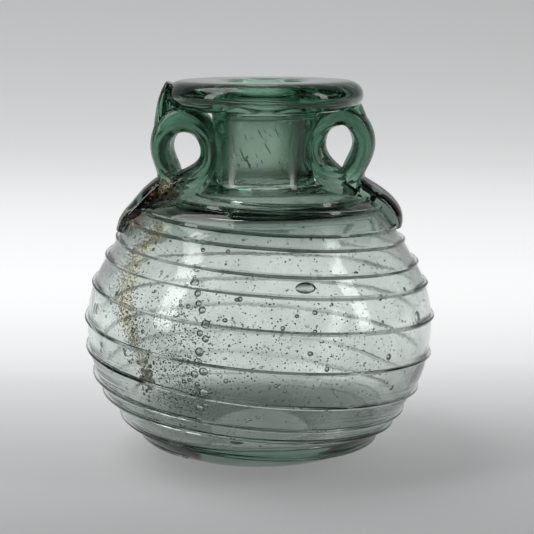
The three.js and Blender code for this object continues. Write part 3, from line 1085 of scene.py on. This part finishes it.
crumbs = []
cloud((-15.0, 26.0), (4.6, 8.5), 2600, [0.1, 0.13, 0.18, 0.3], 1.6)
for i in range(LOOSE_SPECKS):
    height = random.uniform(6, 50)
    across = wall_at(height)[0] * math.sin(random.uniform(-1.4, 1.4))
    size = random.choice([0.12, 0.18, 0.24, 0.34])
    add_blob(crumbs, wall_spot(across, height, INNER_FACE, i % 4 != 0), size, size, GRAIN_THICKNESS, COARSE)
for i in range(DARK_SPOTS):
    spot = wall_spot(random.gauss(-20.2, 0.6), random.gauss(20.5, 1.8), BODY_WALL + 0.12)
    add_blob(crumbs, spot, random.uniform(0.4, 1.0), random.uniform(0.5, 1.2), 0.12, COARSE)
cloud((9.0, 28.0), (9.5, 7.5), 900, [0.12, 0.16, 0.2, 0.32], 1.5)
for across, height, size in CRUSTS:
    add_blob(crumbs, wall_spot(across, height, BODY_WALL + 0.3), size * 1.3, size * 0.75, 0.3)
speck_crumbs = gathered("weathering_specks", crumbs)

# %% [markdown]
# ## Rust flakes
# Rust has settled on both handles, thickest where the left one meets the shoulder. The handles
# have no simple formula, so a ray is sent from the front, a little downwards, and a flake is laid
# where it first meets the glass.

# %% Rust on the handles
RAY_START = -80
RAY_DROP = 12
RAY_WAY = Vector((0, 1, -0.18))
STEEPEST = 0.98
# middle of the patch across and up, its spread both ways, and how many flakes it holds
RUST = [
    (-18.5, 54.0, 1.8, 1.2, 130), (-23.5, 48.2, 2.6, 1.2, 150), (-17.0, 57.0, 0.6, 1.8, 60),
    (24.5, 47.6, 1.8, 1.0, 50), (12.5, 60.0, 0.3, 3.0, 40),
]
crumbs = []
for across, height, wide, tall, count in RUST:
    for i in range(count):
        x, z = random.gauss(across, wide), random.gauss(height, tall)
        found, spot, out, face = flask.ray_cast(Vector((x, RAY_START, z + RAY_DROP)) * MM, RAY_WAY)
        if not found or abs(out.z) > STEEPEST:
            continue
        size = random.choice([0.12, 0.2, 0.28, 0.4])
        add_blob(crumbs, (spot / MM, out), size * random.uniform(0.8, 1.6), size, 0.06, COARSE)
rust_crumbs = gathered("rust_flakes", crumbs)

# %% [markdown]
# ## Materials of the crusts
# The three crusts are dull and grainy: a fine noise goes over from a dark tone to a light one.
# Streak and specks stop the light, while rust lets part of it through.

# %% Crust materials
def crust(name, dark, light, clear):
    """Fine grains between two tones; clear is the share of light that passes."""
    material, tree, base, place = new_material(name)
    base.inputs["Roughness"].default_value = 0.7
    base.inputs["Transmission Weight"].default_value = clear
    ramp = ramp_of(tree, noise_of(tree, place, 1200.0, 2.0), [(0.35, dark), (0.65, light)])
    tree.links.new(ramp.outputs["Color"], base.inputs["Base Color"])
    return material


for piece, material in [
    (streak_crumbs, crust("yellow_brown_grains", (0.35, 0.28, 0.14), (0.80, 0.72, 0.48), 0.0)),
    (speck_crumbs, crust("grey_crust", (0.05, 0.05, 0.04), (0.30, 0.31, 0.27), 0.0)),
    (rust_crumbs, crust("rust_crust", (0.16, 0.06, 0.03), (0.45, 0.22, 0.10), 0.3)),
]:
    piece.data.materials.clear()
    piece.data.materials.append(material)
    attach(piece, "root")

# %% [markdown]
# ## Studio: the sweep
# A sheet of paper runs from under the flask back and then up in one soft bend, so no edge shows
# behind the glass. A point is extruded along that line, and the line is extruded sideways.

# %% Sweep
SWEEP_LEFT, SWEEP_WIDTH = -2.0, 4.0
SWEEP_FRONT, BEND_START, SWEEP_TOP = -1.2, 0.45, 2.0
BEND_RADIUS = 0.35
BEND_STEPS = 12

sweep = single_point("studio_sweep", (SWEEP_LEFT, SWEEP_FRONT, 0))
sweep_line = [(SWEEP_FRONT, 0), (BEND_START, 0)]
for i in range(1, BEND_STEPS + 1):
    turn = math.radians(90 * i / BEND_STEPS)
    sweep_line.append((BEND_START + BEND_RADIUS * math.sin(turn), BEND_RADIUS * (1 - math.cos(turn))))
sweep_line.append((BEND_START + BEND_RADIUS, SWEEP_TOP))
for (y0, z0), (y1, z1) in zip(sweep_line, sweep_line[1:]):
    bpy.ops.mesh.extrude_region_move(TRANSFORM_OT_translate={"value": (0, y1 - y0, z1 - z0)})
bpy.ops.mesh.select_all(action="SELECT")
bpy.ops.mesh.extrude_region_move(TRANSFORM_OT_translate={"value": (SWEEP_WIDTH, 0, 0)})
bpy.ops.mesh.select_all(action="SELECT")
bpy.ops.mesh.normals_make_consistent(inside=False)
bpy.ops.object.mode_set(mode="OBJECT")
bpy.ops.object.shade_smooth()
print("sweep", len(sweep.data.polygons), "faces")

# %% [markdown]
# ## Studio: light on the sweep
# The paper is brightest just behind the flask and falls off to grey above and in front, which is
# what draws the dark lines round clear glass. It glows by a ramp along the sweep, because that is
# simpler to place than a lamp with a soft edge.

# %% Paper
PAPER_START, PAPER_END = -0.4, 1.3
# brightness of the paper by the way along the sweep in metres: negative is towards the camera
BRIGHTNESS = [
    (-0.40, 0.0), (-0.05, 0.15), (0.0, 0.25), (0.033, 0.38), (0.07, 0.55), (0.131, 0.70), (0.215, 0.72),
    (0.456, 0.55), (0.633, 0.37), (0.79, 0.29), (1.30, 0.20),
]
paper, tree, shader, place = new_material("pale_paper")
shader.inputs["Roughness"].default_value = 0.9
shader.inputs["Base Color"].default_value = (0.5, 0.505, 0.51, 1)
shader.inputs["Emission Strength"].default_value = 1.0
split = tree.nodes.new("ShaderNodeSeparateXYZ")
tree.links.new(place, split.inputs["Vector"])
way_along = math_of(tree, "ADD", split.outputs["Y"], split.outputs["Z"])
stops = []
for way, level in BRIGHTNESS:
    tone = (level, level * 1.005, level * 1.01)
    stops.append(((way - PAPER_START) / (PAPER_END - PAPER_START), tone))
ramp = ramp_of(tree, ranged(tree, way_along, PAPER_START, PAPER_END), stops)
ramp.color_ramp.interpolation = "B_SPLINE"
tree.links.new(ramp.outputs["Color"], shader.inputs["Emission Color"])
sweep.data.materials.append(paper)
print("brightness stops", len(stops))

# %% [markdown]
# ## Studio: lamps
# One large soft box hangs above and a narrow one stands on each side. They put the soft
# highlights on the rim, the handles and the belly.

# %% Lights
def soft_light(name, place, target, width, height, power):
    data = bpy.data.lights.new(name, "AREA")
    data.shape = "RECTANGLE"
    data.size = width
    data.size_y = height
    data.energy = power
    lamp = bpy.data.objects.new(name, data)
    bpy.context.scene.collection.objects.link(lamp)
    lamp.location = place
    lamp.rotation_euler = (Vector(target) - Vector(place)).to_track_quat("-Z", "Y").to_euler()
    print(name, power, "watts")


soft_light("overhead_box", (-0.4, 0.05, 0.75), (0, 0.03, 0), 0.55, 0.45, 2.2)
soft_light("left_strip", (-0.55, -0.25, 0.35), (0, 0, 0.05), 0.15, 0.6, 1.2)
soft_light("right_strip", (0.6, -0.2, 0.3), (0, 0, 0.05), 0.12, 0.5, 0.8)
world = bpy.data.worlds.new("dim_room")
world.use_nodes = True
world.node_tree.nodes["Background"].inputs["Color"].default_value = (0.04, 0.04, 0.042, 1)
world.node_tree.nodes["Background"].inputs["Strength"].default_value = 1.0
bpy.context.scene.world = world
bpy.context.scene.view_settings.view_transform = "Standard"
